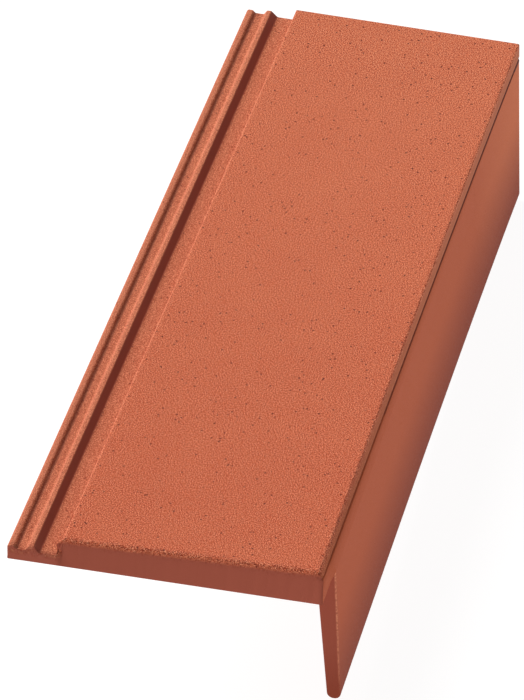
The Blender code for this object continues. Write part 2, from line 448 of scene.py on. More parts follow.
@dataclass(frozen=True)
class VergeSide:
    """The flaring side: a bare band under the top arris, then a groove, in millimetres.

    The band is upright and tall at the head, and low and sloping at the nose.
    """

    width_at_head: float = 133.5
    width_at_nose: float = 140.0
    flare_power: float = 1.3
    arris_radius: float = 0.8
    band_height_at_head: float = 8.4
    band_height_at_nose: float = 2.4
    band_run_at_nose: float = 2.5
    groove_width_at_head: float = 2.2
    groove_width_at_nose: float = 0.7
    groove_depth: float = 1.1
    groove_lip_radius: float = 0.15
    groove_rounding: float = 0.32
    groove_fade_starts: float = 0.9
    groove_left_at_nose: float = 0.3
    groove_full_from_head: float = 0.015
    groove_left_at_head: float = 0.4
    shoulder_run_at_nose: float = 2.8
    shoulder_bulge: float = 0.4
    root_run_at_nose: float = 3.9

    def band_height(self, share: Values) -> Values:
        """Drop from the weather face to the middle of the groove."""
        return between(self.band_height_at_head, self.band_height_at_nose, share)

    def groove_width(self, share: Values) -> Values:
        """Width of the groove's mouth."""
        return between(self.groove_width_at_head, self.groove_width_at_nose, share)

    def arris(self, share: Values) -> Values:
        """Place of the top arris across the tile."""
        return between(self.width_at_head, self.width_at_nose, share)

    def root(self, share: float, bulge: float = 0.0) -> float:
        """Place of the lap's root across the tile, where the slab's underside would meet it."""
        return self.arris(share) + self.root_run_at_nose * share + bulge

    def side_run(self, z: np.ndarray, thickness: float) -> np.ndarray:
        """How far the nose's right edge lies outside the top arris, at heights from the weather face."""
        drops = [0.0, self.band_height_at_nose, thickness]
        return np.interp(-z, drops, [0.0, self.band_run_at_nose, self.root_run_at_nose])

    def open_groove(self, share: Values) -> Values:
        """How much of its depth the groove keeps, which falls off by the nose and at the head."""
        by_nose = between(1.0, self.groove_left_at_nose, smooth_step(self.groove_fade_starts, 1.0, share))
        by_head = between(self.groove_left_at_head, 1.0, smooth_step(0.0, self.groove_full_from_head, share))
        return by_nose * by_head

    def corners(self, share: float, bulge: float) -> list[Corner]:
        """Corners from the top arris over the band and the groove to the lap's shoulder.

        Args:
            share: How much of the flare is reached.
            bulge: How much of the lap's bulge is reached, in millimetres.

        Returns:
            The corners in order.
        """
        arris, height = self.arris(share), self.band_height(share)
        depth = self.groove_depth * self.open_groove(share)
        foot = arris + self.band_run_at_nose * share
        half = 0.5 * self.groove_width(share)
        return [
            Corner(arris, 0.0, self.arris_radius, 4, 4),
            Corner(foot, half - height, self.groove_lip_radius, 1, 1),
            Corner(foot - depth, -height, self.groove_rounding * half, 2, 1),
            Corner(
                arris + self.shoulder_run_at_nose * share + self.shoulder_bulge * bulge, -half - height,
                self.groove_lip_radius, 1, 2,
            ),
        ]


@dataclass(frozen=True)
class Lap:
    """The deep lap that hangs down the verge side, in millimetres."""

    depth_at_head: float = 91.0
    depth_at_nose: float = 84.5
    root_thickness: float = 8.6
    tip_thickness: float = 6.4
    tip_run_at_head: float = 1.5
    tip_run_at_nose: float = 7.4
    tip_rounding: float = 0.48
    setback: float = 27.5
    bulge_at_front: float = 0.8
    bulge_starts: float = 19.0
    fillet: float = 5.0
    front_radius: float = 0.9
    front_fade: float = 1.6
    inner_margin: float = 1.0
    front_steps: int = 3
    fillet_steps: int = 4
    face_steps: int = 10
    tip_steps: int = 8
    steps_across: int = 3

    def bulge(self, y: float, share: float) -> float:
        """How far the lap's shoulder stands out from the slab's side in front of it."""
        return self.bulge_at_front * share * float(smooth_step(self.bulge_starts, self.setback, y))

    def outer(self, verge: VergeSide, thickness: float, y: float, share: float) -> list[Corner]:
        """Corners of the outer face, from the slab's underside level to the middle of the tip."""
        root = verge.root(share, self.bulge(y, share))
        tip = verge.arris(share) + between(self.tip_run_at_head, self.tip_run_at_nose, share)
        depth = between(self.depth_at_head, self.depth_at_nose, share)
        fillet_end = between(root, tip, self.fillet / (depth - thickness))
        return [
            Corner(root, -thickness, run_steps=self.fillet_steps + 1),
            Corner(fillet_end, -thickness - self.fillet, run_steps=self.face_steps),
            Corner(tip, -depth, self.tip_rounding * self.tip_thickness, self.tip_steps),
            Corner(tip - 0.5 * self.tip_thickness, -depth),
        ]

    def inner(self, verge: VergeSide, thickness: float, share: float) -> list[Corner]:
        """Corners of the inner face, from the slab's underside round the fillet to the middle of the tip."""
        root = verge.root(share) - self.root_thickness
        tip = verge.arris(share) + between(self.tip_run_at_head, self.tip_run_at_nose, share)
        tip -= self.tip_thickness
        depth = between(self.depth_at_head, self.depth_at_nose, share)
        return [
            Corner(root - self.fillet - self.inner_margin, -thickness),
            Corner(root, -thickness, self.fillet, self.fillet_steps, self.face_steps),
            Corner(tip, -depth, self.tip_rounding * self.tip_thickness, self.tip_steps),
            Corner(tip + 0.5 * self.tip_thickness, -depth),
        ]


@dataclass(frozen=True)
class Nose:
    """The nose: a leaning face, a little out of square, in millimetres."""

    skew: float = 3.4
    lean_at_interlock: float = 5.0
    lean_at_verge: float = 8.6
    lean_starts: float = 22.4
    lean_full: float = 24.4
    arris_radius: float = 1.9
    lip_radius: float = 0.62
    corner_radius: float = 1.0
    # The corner's curve stops a little short of upright, so that its slope stays finite.
    corner_reach: float = 0.97
    probe: float = 0.05
    # Passes that bring the outline's flare and the leaning face together
    meeting_passes: int = 2
    round_steps: int = 5
    # Where the wide rounding of the slab's arris gives way to the narrow one of the lip
    from_wall: tuple[float, float] = (0.0, 4.0)
    from_verge: tuple[float, float] = (-5.0, -0.5)
    from_foot: tuple[float, float] = (0.0, 2.0)
    # How far the sides' own spacing reaches into the mesh of the face
    left_reach: float = 1.5
    right_reach: float = 3.0
    rise_weight: float = 0.25

    def front(self, x: np.ndarray, z: np.ndarray, thickness: float, verge: VergeSide) -> np.ndarray:
        """How far the nose's surface lies behind the interlock's front corner.

        Args:
            x: Places across the tile.
            z: Heights from the weather face.
            thickness: The slab's thickness.
            verge: The verge side, whose width at the nose sets the skew's span.

        Returns:
            The surface's y at each place.
        """
        setback = self.skew * x / verge.width_at_nose
        share = (x - self.lean_starts) / (verge.width_at_nose - self.lean_starts)
        lean = between(self.lean_at_interlock, self.lean_at_verge, share)
        lean = lean * smooth_step(self.lean_starts, self.lean_full, x)
        rise = np.clip(1.0 + z / thickness, 0.0, 1.0)
        side = verge.width_at_nose + verge.side_run(z, thickness)
        into = np.clip(x - side + self.corner_radius, 0.0, self.corner_reach * self.corner_radius)
        corner = self.corner_radius - np.sqrt(self.corner_radius**2 - into**2)
        return setback + lean * rise + corner

    def normals(self, x: np.ndarray, z: np.ndarray, thickness: float, verge: VergeSide) -> np.ndarray:
        """Outward unit normals of the nose's surface at each place."""
        slopes = []
        for dx, dz in ((self.probe, 0.0), (0.0, self.probe)):
            ahead = self.front(x + dx, z + dz, thickness, verge)
            behind = self.front(x - dx, z - dz, thickness, verge)
            slopes.append((ahead - behind) / (2.0 * self.probe))
        found = np.column_stack([slopes[0], -np.ones(len(x)), slopes[1]])
        return found / np.linalg.norm(found, axis=1, keepdims=True)


@dataclass(frozen=True)
class Block:
    """A nib or rib under the slab, as a box with rounded edges and a tapered foot, in millimetres."""

    low: tuple[float, float, float]
    high: tuple[float, float, float]
    taper: float
    edge_radius: float
    edge_steps: int = 4
    edge_profile: float = 0.5

    def add_to(self, shells: bmesh.types.BMesh) -> None:
        """Add the block to a mesh as one more closed shell."""
        made = bmesh.ops.create_cube(shells, size=1.0)["verts"]
        for vert in made:
            corner = [self.low[axis] if vert.co[axis] < 0.0 else self.high[axis] for axis in range(3)]
            if vert.co.z < 0.0:
                corner[0] += self.taper if vert.co.x < 0.0 else -self.taper
                corner[1] -= self.taper if vert.co.y > 0.0 else 0.0
            vert.co = corner
        edges = list({edge for vert in made for edge in vert.link_edges})
        bmesh.ops.bevel(
            shells, geom=edges, offset=self.edge_radius, segments=self.edge_steps,
            profile=self.edge_profile, affect="EDGES",
        )


@dataclass(frozen=True)
class Underside:
    """The hanging nibs by the head and the foot ribs by the nose, in millimetres."""

    nib_width: float = 26.0
    nib_length: float = 16.0
    nib_depth: float = 14.0
    nib_taper: float = 1.5
    nib_edge_radius: float = 1.5
    nib_to_head: float = 12.0
    nib_to_interlock: float = 3.0
    nib_to_lap: float = 10.6
    rib_width: float = 5.0
    rib_depth: float = 3.0
    rib_to_nose: float = 34.0
    rib_pitch: float = 16.0
    rib_count: int = 2
    rib_edge_radius: float = 0.8
    embed: float = 3.0

    def blocks(self, length: float, thickness: float, left_wall: float, right_wall: float) -> list[Block]:
        """The nibs and ribs in their places.

        Args:
            length: The tile's length.
            thickness: The slab's thickness.
            left_wall: Where the interlock ends, across the tile.
            right_wall: Where the lap's inner face starts at the head, across the tile.

        Returns:
            Two nibs, then the foot ribs.
        """
        top = self.embed - thickness
        back = length - self.nib_to_head
        first = left_wall + self.nib_to_interlock
        last = right_wall - self.nib_to_lap
        found = []
        for left in (first, last - self.nib_width):
            low = (left, back - self.nib_length, -thickness - self.nib_depth)
            high = (left + self.nib_width, back, top)
            found.append(Block(low, high, self.nib_taper, self.nib_edge_radius))
        for number in range(self.rib_count):
            start = self.rib_to_nose + number * self.rib_pitch
            low = (first, start, -thickness - self.rib_depth)
            found.append(Block(low, (last, start + self.rib_width, top), 0.0, self.rib_edge_radius))
        return found


@dataclass(frozen=True)
class TornEdges:
    """How the concrete tears where the extruded ribbon is cut and struck.

    Places and depths are in millimetres, and the other numbers are shares. A pair of numbers is the run over
    which the tear fades in or out.
    """

    beside_wall: tuple[float, float] = (-0.5, 1.0)
    nose_run: tuple[float, float] = (0.3, 2.6)
    nose_drop_weight: float = 0.6
    nose_depth: float = 0.22
    nose_lumps: float = 1.2
    verge_run: tuple[float, float] = (0.5, 1.8)
    verge_depth: float = 0.25
    verge_whole: float = 0.15
    verge_flare: tuple[float, float] = (0.3, 1.0)
    verge_left_at_head: float = 0.35
    verge_torn: float = 0.5
    lip_run: tuple[float, float] = (0.4, 3.0)
    lip_depth: float = 0.5
    lip_gain: float = 1.4
    lip_whole: float = 0.3
    lip_heights: tuple[float, float] = (-9.5, -7.0)
    lip_from_edge: tuple[float, float] = (0.4, 2.0)
    face_depth: float = 0.12
    face_from_foot: tuple[float, float] = (0.0, 1.5)
    face_reach: float = 0.4
    evenness: float = 0.4
    deepest: float = 1.2
    least: float = 0.01
    teeth: Lumps = Lumps((1.7, 3.0, 3.0), 3.1)
    crumbs: Lumps = Lumps((2.2, 2.2, 2.2), 11.7)
    clods: Lumps = Lumps((8.0, 8.0, 8.0), 23.0)
    streaks: Lumps = Lumps((1.9, 30.0, 14.0), 31.0)
    # The burr is dragged from the channel's wall over the channel: how far it hangs out, its level under
    # the weather face, how far it reaches up and down, back from the nose and into the wall, and its end.
    burr_width: float = 2.7
    burr_drop: float = 3.4
    burr_reach: float = 2.0
    burr_back: float = 5.4
    burr_root: float = 1.8
    burr_end: float = 1.0
    burr_from_wall: float = 1.5
    burr_off_floor: float = 0.1


@dataclass(frozen=True)
class SurfaceRuns:
    """Where each kind of surface, and each painted shade or highlight, gives way to the next, and how strong
    it is.

    Places are in millimetres, and strengths are shares. A pair of numbers is the run over which a surface
    fades in or out.
    """

    foot: float = 0.5
    cut_behind_nose: tuple[float, float] = (0.15, 0.7)
    cut_heights: tuple[float, float] = (-2.1, -0.7)
    cut_beside_wall: tuple[float, float] = (-3.2, 1.0)
    cut_off_floor: float = 0.5
    cut_behind_burr: float = 0.6
    cut_below_slab: tuple[float, float] = (0.0, 0.5)
    lap_front_starts: float = 0.2
    flank_blur: float = 0.3
    moulded_beside: tuple[float, float] = (-1.0, 0.0)
    moulded_below_band: tuple[float, float] = (-0.3, 0.3)
    moulded_under: tuple[float, float] = (0.0, 0.5)
    slid_beside_wall: tuple[float, float] = (-0.8, -0.2)
    slid_share: float = 0.6
    # Painted shade on the lap, darker towards its foot and on its front
    painted_foot_shade_drops: tuple[float, float] = (40.0, 88.0)
    painted_foot_shade_below_slab: tuple[float, float] = (0.5, 2.0)
    painted_foot_shade_at_front: float = 0.3
    # Painted shade in the groove, in the valley's corner and on the inner bar's flank
    groove_in: tuple[float, float] = (0.0, 0.4)
    groove_reach: float = 3.0
    groove_at_nose: float = 0.7
    groove_lip: float = 0.3
    groove_lip_margin: float = 0.05
    groove_lip_at_nose: float = 0.2
    groove_flare_at_head: float = 0.5
    groove_kept_at_head: float = 0.6
    valley_line: tuple[float, float] = (0.3, 0.9)
    valley_shade: float = 0.55
    flank_shade: float = 0.3
    shade_behind_nose: tuple[float, float] = (0.2, 0.7)
    struck_beside: tuple[float, float] = (-0.3, 0.1)
    struck_below: tuple[float, float] = (0.7, 1.6)
    struck_at_nose: float = 0.55
    # Painted highlight on the lap's front arris, the channel wall's top and the bars' crests
    painted_highlight_starts: float = 0.3
    painted_highlight_below_slab: tuple[float, float] = (0.0, 1.0)
    painted_highlight_off_tip: float = 30.0
    wall_top_run: tuple[float, float] = (0.1, 0.8)
    wall_top_inset: float = 0.1
    wall_top_share: float = 0.6
    crest_margin: float = 0.3
    crest_share: float = 0.3


@dataclass(frozen=True)
class CastConcrete:
    """Through-coloured concrete, extruded on top and moulded on the lap.

    The eye sees an even brick red, dead matt. The weather face is a close sand grain of dark hollows and
    pale grains, with small dark pits and a faint cloudiness, and painted light makes it paler towards the
    head. Where the mould or the sliding die closed the concrete it is smoother and browner, the nose's face,
    the lap's front and the burr are darker still, and torn edges are open and coarse. Painted shade darkens
    the lap towards its foot, the groove, the valley's corner and the inner bar's flank, and a painted
    highlight makes the lap's front arris, the channel wall's top and the bars' crests pale.
    """

    name: str = "cast_concrete_brick_red"
    colour: str = "#d3653d"
    # The pale colour shows the mottle, and the painted light that makes the weather face paler towards the
    # head
    pale_colour: str = "#e27b50"
    hollow_colour: str = "#962805"
    grain_colour: str = "#f59f78"
    pit_colour: str = "#66190a"
    moulded_colour: str = "#b65023"
    moulded_pale_colour: str = "#ca683c"
    # Painted shade on the lap, darker towards its foot and on its front
    painted_foot_shade_colour: str = "#8c3519"
    # Darker on the nose's face, the lap's front and the burr, and painted shade on the inner bar's flank
    cut_and_shade_colour: str = "#a04d38"
    struck_colour: str = "#b4603a"
    slid_colour: str = "#b46c4c"
    crumb_colour: str = "#943a22"
    # Painted shade in the groove, in the valley's corner and on the inner bar's flank
    painted_shade_colour: str = "#66281a"
    # Painted highlight on the lap's front arris, the channel wall's top and the bars' crests
    painted_highlight_colour: str = "#e08a66"
    roughness: float = 0.92
    moulded_share: float = 0.85
    # Grains of sand are mostly 0.2 to 0.5 mm wide, finer than a pixel of the photograph's view, so they are
    # drawn a little coarser than they are.
    sand: Grain = Grain(0.5, 1.0, 0.6)
    mottle: Grain = Grain(26.0, 4.0, 0.65)
    torn_grain: Grain = Grain(1.0, 3.0, 0.7)
    # Pits lie a few millimetres apart and are up to about 1 mm wide. Their span is a share of their spacing.
    pit_spacing_mm: float = 3.8
    pit_span: Span = Span(0.06, 0.16, 1.0, 0.0, Blend.SOFT)
    hollow_span: Span = Span(0.53, 0.38)
    grain_span: Span = Span(0.52, 0.68)
    crumb_span: Span = Span(0.5, 0.38)
    # Patches of the painted highlight
    highlight_patch_span: Span = Span(0.4, 0.55, 0.15, 1.0)
    # Along the tile in metres, painted light makes the weather face paler towards the head, and the lap is
    # also paler by the head.
    painted_light_span: Span = Span(-0.3, 0.0, -0.35, 0.35)
    head_span: Span = Span(-0.05, 0.04)
    sand_height_mm: float = 0.5
    pit_depth_mm: float = 0.3
    torn_height_mm: float = 0.6
    # How far each way of shaping closes the grain
    closing: tuple[tuple[Mask, float], ...] = (
        (Mask.MOULDED, 0.6), (Mask.SLID, 0.45), (Mask.CUT, 0.85), (Mask.STRUCK, 0.7),
    )

    def material(self) -> bpy.types.Material:
        """Build the node material."""
        made = bpy.data.materials.new(self.name)
        made.use_nodes = True
        tree = made.node_tree
        shader = tree.nodes["Principled BSDF"]
        shader.inputs["Roughness"].default_value = self.roughness
        masks = {
            mask: add_node(tree, "ShaderNodeAttribute", {"attribute_name": mask.value}).outputs["Fac"]
            for mask in Mask
        }
        patterns = self.patterns(tree, masks)
        tree.links.new(self.layers(tree, masks, patterns), shader.inputs["Base Color"])
        tree.links.new(self.relief(tree, patterns), shader.inputs["Normal"])
        return made

    def patterns(self, tree: bpy.types.NodeTree, masks: MaskSockets) -> Sockets:
        """Draw the grain, the pits and the cloudiness with the painted light along the tile, and the patches
        of the painted highlight, and keep each to the surfaces that show it.

        Args:
            tree: The material's tree.
            masks: The socket of each mask.

        Returns:
            The sockets of the patterns' shares and heights, by name.
        """
        place = add_node(tree, "ShaderNodeTexCoord").outputs["Object"]
        mottle, sand, rough = (
            add_node(
                tree, "ShaderNodeTexNoise",
                {"Scale": 1.0 / (grain.size_mm * MM), "Detail": grain.detail, "Roughness": grain.roughness},
                {"Vector": place},
            ).outputs["Fac"]
            for grain in (self.mottle, self.sand, self.torn_grain)
        )
        cell = add_node(
            tree, "ShaderNodeTexVoronoi", {"Scale": 1.0 / (self.pit_spacing_mm * MM)}, {"Vector": place}
        )
        along = add_node(tree, "ShaderNodeSeparateXYZ", {}, {0: place}).outputs["Y"]
        pit, hollow, grain, crumb, highlight_patches, painted_light_along, by_head = (
            add_node(tree, "ShaderNodeMapRange", span.settings(), {"Value": value}).outputs["Result"]
            for span, value in (
                (self.pit_span, cell.outputs["Distance"]), (self.hollow_span, sand), (self.grain_span, sand),
                (self.crumb_span, rough), (self.highlight_patch_span, rough), (self.painted_light_span, along),
                (self.head_span, along),
            )
        )
        grain_open = self.open_share(tree, masks)
        found = {
            name: add_node(tree, "ShaderNodeMath", {"operation": "MULTIPLY"}, {0: one, 1: other}).outputs[0]
            for name, one, other in (
                ("pits", pit, grain_open), ("hollows", hollow, grain_open), ("grains", grain, grain_open),
                ("crumbs", crumb, masks[Mask.TORN]), ("painted highlights", highlight_patches, masks[Mask.PAINTED_HIGHLIGHT]),
                ("sand height", sand, grain_open), ("torn height", rough, masks[Mask.TORN]),
            )
        }
        found["by head"] = by_head
        found["paleness"] = add_node(
            tree, "ShaderNodeMath", {"operation": "ADD", "use_clamp": True}, {0: mottle, 1: painted_light_along}
        ).outputs[0]
        found["moulded"] = add_node(
            tree, "ShaderNodeMath", {"operation": "MULTIPLY", 1: self.moulded_share}, {0: masks[Mask.MOULDED]}
        ).outputs[0]
        return found

    def layers(
        self, tree: bpy.types.NodeTree, masks: MaskSockets, patterns: Sockets
    ) -> bpy.types.NodeSocket:
        """Lay the colours over one another, each by its share.

        Args:
            tree: The material's tree.
            masks: The socket of each mask.
            patterns: The sockets of the patterns, by name.

        Returns:
            The socket of the finished colour.
        """
        body, moulded = (
            add_node(
                tree, "ShaderNodeMix",
                {"data_type": "RGBA", MIX_UNDER: linear(plain), MIX_OVER: linear(pale)}, {MIX_SHARE: share},
            ).outputs[MIX_RESULT]
            for plain, pale, share in (
                (self.colour, self.pale_colour, patterns["paleness"]),
                (self.moulded_colour, self.moulded_pale_colour, patterns["by head"]),
            )
        )
        # Among these layers are painted shade, on the lap, the groove, the valley and the flank, and a
        # painted highlight.
        for share, colour, over in (
            (masks[Mask.SLID], self.slid_colour, {}),
            (patterns["hollows"], self.hollow_colour, {}),
            (patterns["grains"], self.grain_colour, {}),
            (patterns["pits"], self.pit_colour, {}),
            (masks[Mask.STRUCK], self.struck_colour, {}),
            (patterns["moulded"], self.moulded_colour, {MIX_OVER: moulded}),
            (masks[Mask.CUT], self.cut_and_shade_colour, {}),
            (masks[Mask.PAINTED_FOOT_SHADE], self.painted_foot_shade_colour, {}),
            (patterns["painted highlights"], self.painted_highlight_colour, {}),
            (patterns["crumbs"], self.crumb_colour, {}),
            (masks[Mask.SEAM], self.painted_shade_colour, {}),
        ):
            body = add_node(
                tree, "ShaderNodeMix", {"data_type": "RGBA", MIX_OVER: linear(colour)},
                {MIX_SHARE: share, MIX_UNDER: body, **over},
            ).outputs[MIX_RESULT]
        return body

    def relief(self, tree: bpy.types.NodeTree, patterns: Sockets) -> bpy.types.NodeSocket:
        """Raise the sand and the torn grain, and sink the pits.

        Args:
            tree: The material's tree.
            patterns: The sockets of the patterns, by name.

        Returns:
            The socket of the surface's normal.
        """
        below: Sockets = {}
        for name, height_mm, sunk in (
            ("sand height", self.sand_height_mm, False), ("pits", self.pit_depth_mm, True),
            ("torn height", self.torn_height_mm, False),
        ):
            bump = add_node(
                tree, "ShaderNodeBump", {"invert": sunk, "Distance": height_mm * MM},
                {"Height": patterns[name], **below},
            )
            below = {"Normal": bump.outputs[0]}
        return below["Normal"]

    def open_share(self, tree: bpy.types.NodeTree, masks: MaskSockets) -> bpy.types.NodeSocket:
        """Say how open the grain is: all of it on the weather face, less where something closed it.

        Args:
            tree: The material's tree.
            masks: The socket of each mask.

        Returns:
            The socket of the share, from 0 to 1.
        """
        shares = [
            add_node(
                tree, "ShaderNodeMath", {"operation": "MULTIPLY_ADD", 1: -closed, 2: 1.0}, {0: masks[mask]}
            ).outputs[0]
            for mask, closed in self.closing
        ]
        least = shares[0]
        for share in shares[1:]:
            least = add_node(
                tree, "ShaderNodeMath", {"operation": "MINIMUM"}, {0: least, 1: share}
            ).outputs[0]
        return least


@dataclass
class TileCasting:
    """The whole tile: one casting, in millimetres."""

    length: float = 420.0
    thickness: float = 11.5
    interlock: Interlock = field(default_factory=Interlock)
    verge: VergeSide = field(default_factory=VergeSide)
    lap: Lap = field(default_factory=Lap)
    nose: Nose = field(default_factory=Nose)
    underside: Underside = field(default_factory=Underside)
    torn: TornEdges = field(default_factory=TornEdges)
    runs: SurfaceRuns = field(default_factory=SurfaceRuns)
    finish: CastConcrete = field(default_factory=CastConcrete)
    top_steps: int = 144
    underside_steps: int = 14
    nose_zone: float = 16.0
    nose_rows: int = 20
    nose_row_growth: float = 1.25
    station_pitch: float = 1.15
    head_radius: float = 0.45
    head_radius_at_groove: float = 0.15
    head_off_groove: tuple[float, float] = (1.2, 3.0)
    head_steps: int = 3
    sharp_angle: float = math.radians(38.0)

    def share(self, y: float) -> float:
        """How much of the verge's flare is reached at y: none at the head, all of it at the nose."""
        return max(0.0, 1.0 - y / self.length) ** self.verge.flare_power

    def flares(self, points: np.ndarray) -> np.ndarray:
        """How much of the verge's flare is reached at each point."""
        return np.array([self.share(y) for y in points[:, 1]])

    def top_outline(self, y: float) -> Outline:
        """Outline from the slab's left foot over the top to the lap's outer face at the underside."""
        corners = self.interlock.corners(self.thickness, self.top_steps)
        corners += self.verge.corners(self.share(y), self.lap.bulge(y, self.share(y)))
        corners.append(self.lap.outer(self.verge, self.thickness, y, self.share(y))[0])
        return Outline.through(corners)

    def fillet_end(self, y: float) -> float:
        """Where the underside meets the lap's fillet, across the tile."""
        return self.lap.inner(self.verge, self.thickness, self.share(y))[0].x

    def skin(self) -> Patchwork:
        """Sew the casting's closed skin, without its nibs and ribs, from the nose to the head."""
        sewn = Patchwork()
        first, second = self.top_outline(0.0), self.top_outline(self.nose_zone)
        slope = (second.points - first.points) / self.nose_zone
        rolled = self.rolled_nose(first, slope)
        rolled_rows = len(rolled)

        rows = [rolled]
        for step in range(1, self.nose_rows + 1):
            share = (step / self.nose_rows) ** self.nose_row_growth
            y = between(rolled[-1][:, 1], self.nose_zone, share)
            flat = first.points + slope * y[:, None]
            rows.append(standing_at(flat, y)[None])
        nose_grid = sewn.add(np.vstack(rows))
        for column in (0, -1):
            nose_grid[:rolled_rows, column] = nose_grid[0, column]
        sewn.weave(nose_grid)

        # Behind the nose every second vertex of the wide weather face is left out.
        wall_top = self.interlock.corners(self.thickness, 1)[WALL_TOP_CORNER]
        run = first.starts[WALL_TOP_CORNER] + wall_top.arc_steps
        kept = [n for n in range(len(first.points)) if not 0 < n - run < self.top_steps or (n - run) % 2 == 0]
        stations = np.linspace(
            self.nose_zone, self.length - self.head_radius,
            round((self.length - self.nose_zone) / self.station_pitch) + 1,
        )[1:]
        lap_row = int(np.argmin(np.abs(stations - self.lap.setback)))
        stations[lap_row] = self.lap.setback
        top_grid = sewn.add(np.array([standing_at(self.top_outline(y).points[kept], y) for y in stations]))
        sewn.weave(top_grid)
        sewn.stitch(nose_grid[-1], top_grid[0], np.arange(nose_grid.shape[1]), np.array(kept))

        left = np.concatenate([nose_grid[rolled_rows - 1:, 0], top_grid[:, 0]])
        right = np.concatenate([nose_grid[rolled_rows - 1:, -1], top_grid[:, -1]])
        lap_row += nose_grid.shape[0] - rolled_rows + 1
        foot_row = self.sew_nose_face(sewn, nose_grid[0], first)
        fillet_column, last_row, cap_row = self.sew_underside(sewn, foot_row, left, right, lap_row)
        outer, inner = self.sew_lap(sewn, stations, right[lap_row:], fillet_column, cap_row)
        ring = np.concatenate([top_grid[-1], outer[1:], inner[-2::-1], last_row[1:-1]])
        self.sew_head(sewn, ring)
        return sewn

    def rolled_nose(self, first: Outline, slope: np.ndarray) -> np.ndarray:
        """Roll the nose's edge over, from the nose's face to the surfaces that run along the tile.

        Args:
            first: The outline at y = 0.
            slope: How far the outline's points move for each millimetre along the tile.

        Returns:
            Rows of points, the first on the nose's face.
        """
        flat = first.points
        for _ in range(self.nose.meeting_passes):
            y = self.nose.front(flat[:, 0], flat[:, 1], self.thickness, self.verge)
            flat = first.points + slope * y[:, None]
        sides = Outline(flat, first.starts).normals()
        fronts = self.nose.normals(flat[:, 0], flat[:, 1], self.thickness, self.verge)
        wide = smooth_step(*self.nose.from_wall, flat[:, 0] - self.interlock.width)
        wide *= 1.0 - smooth_step(*self.nose.from_verge, flat[:, 0] - self.verge.width_at_nose)
        radii = between(self.nose.lip_radius, self.nose.arris_radius, wide)
        radii *= smooth_step(*self.nose.from_foot, flat[:, 1] + self.thickness)
        return roll_edge(standing_at(flat, y), sides, fronts, radii, self.nose.round_steps)

    def sew_nose_face(self, sewn: Patchwork, border: np.ndarray, outline: Outline) -> np.ndarray:
        """Fill the nose's face inside its rolled edge.

        Args:
            sewn: The patchwork.
            border: Vertex numbers of the rolled edge's first row.
            outline: The outline that the border follows.

        Returns:
            Vertex numbers along the foot of the nose, from left to right.
        """
        places = sewn.places()
        left_top = outline.starts[OUTER_BAR_CORNER] + ARC_MIDDLE
        right_top = outline.starts[VERGE_ARRIS_CORNER] + ARC_MIDDLE
        top = places[border[left_top:right_top + 1]]
        left = places[border[left_top::-1]]
        right = places[border[right_top:]]
        rows, columns = len(right), len(top)
        step = np.abs(np.diff(top[:, 0])) + self.nose.rise_weight * np.abs(np.diff(top[:, 2]))
        along = np.concatenate([[0.0], np.cumsum(step)])
        along /= along[-1]
        foot_x = between(left[-1, 0], right[-1, 0], along)
        foot_z = -self.thickness
        near_left = np.exp(-(top[:, 0] - top[0, 0]) / self.nose.left_reach)
        near_right = np.exp(-(top[-1, 0] - top[:, 0]) / self.nose.right_reach)
        near_left[-1] = near_right[0] = 0.0
        even = np.linspace(0.0, 1.0, rows)
        left_share = (left[:, 2] - left[0, 2]) / (left[-1, 2] - left[0, 2])
        right_share = (right[:, 2] - right[0, 2]) / (right[-1, 2] - right[0, 2])
        grid = np.zeros((rows, columns), dtype=int)
        grid[0] = border[left_top:right_top + 1]
        grid[:, 0] = border[left_top::-1]
        grid[:, -1] = border[right_top:]
        for row in range(1, rows):
            down = even[row] + near_left * (left_share[row] - even[row])
            down = down + near_right * (right_share[row] - even[row])
            left_bulge = left[row, 0] - between(left[0, 0], left[-1, 0], left_share[row])
            right_bulge = right[row, 0] - between(right[0, 0], right[-1, 0], right_share[row])
            x = between(top[:, 0], foot_x, down) + near_left * left_bulge + near_right * right_bulge
            z = between(top[:, 2], foot_z, down)
            y = self.nose.front(x, z, self.thickness, self.verge)
            grid[row, 1:-1] = sewn.add(np.column_stack([x, y, z])[1:-1])
        sewn.weave(grid)
        return grid[-1]

    def sew_underside(
        self, sewn: Patchwork, foot_row: np.ndarray, left: np.ndarray, right: np.ndarray, lap_row: int
    ) -> tuple[np.ndarray, np.ndarray, np.ndarray]:
        """Sew the underside from the nose's foot to the head.

        Args:
            sewn: The patchwork.
            foot_row: Vertex numbers along the foot of the nose.
            left: Vertex numbers along the slab's left foot, one for each row from the nose.
            right: Vertex numbers where the outer side meets the underside's level, one for each row.
            lap_row: Number of the row where the lap starts.

        Returns:
            Vertex numbers along the lap's fillet from the lap's row on, those of the last row, and those
            across the lap's root where the lap starts.
        """
        places = sewn.places()
        columns = self.underside_steps + self.lap.steps_across + 1
        grid = np.zeros((len(left), columns), dtype=int)
        for row in range(1, len(left)):
            start, end = places[right[row]], places[left[row]]
            fillet = self.fillet_end(start[1])
            x = np.concatenate([
                np.linspace(start[0], fillet, self.lap.steps_across + 1),
                np.linspace(fillet, end[0], self.underside_steps + 1)[1:],
            ])
            y = between(start[1], end[1], (x - start[0]) / (end[0] - start[0]))
            points = np.column_stack([x, y, np.full(columns, -self.thickness)])
            grid[row, 0], grid[row, -1] = right[row], left[row]
            first = 1 if row <= lap_row else self.lap.steps_across
            grid[row, first:-1] = sewn.add(points[first:-1])
        sewn.weave(grid[1:lap_row + 1])
        sewn.weave(grid[lap_row:, self.lap.steps_across:])
        places = sewn.places()
        first_row = grid[1][::-1]
        sewn.stitch(foot_row, first_row, places[foot_row][:, 0], places[first_row][:, 0])
        across = self.lap.steps_across
        return grid[lap_row:, across], grid[-1, across:], grid[lap_row, :across + 1]

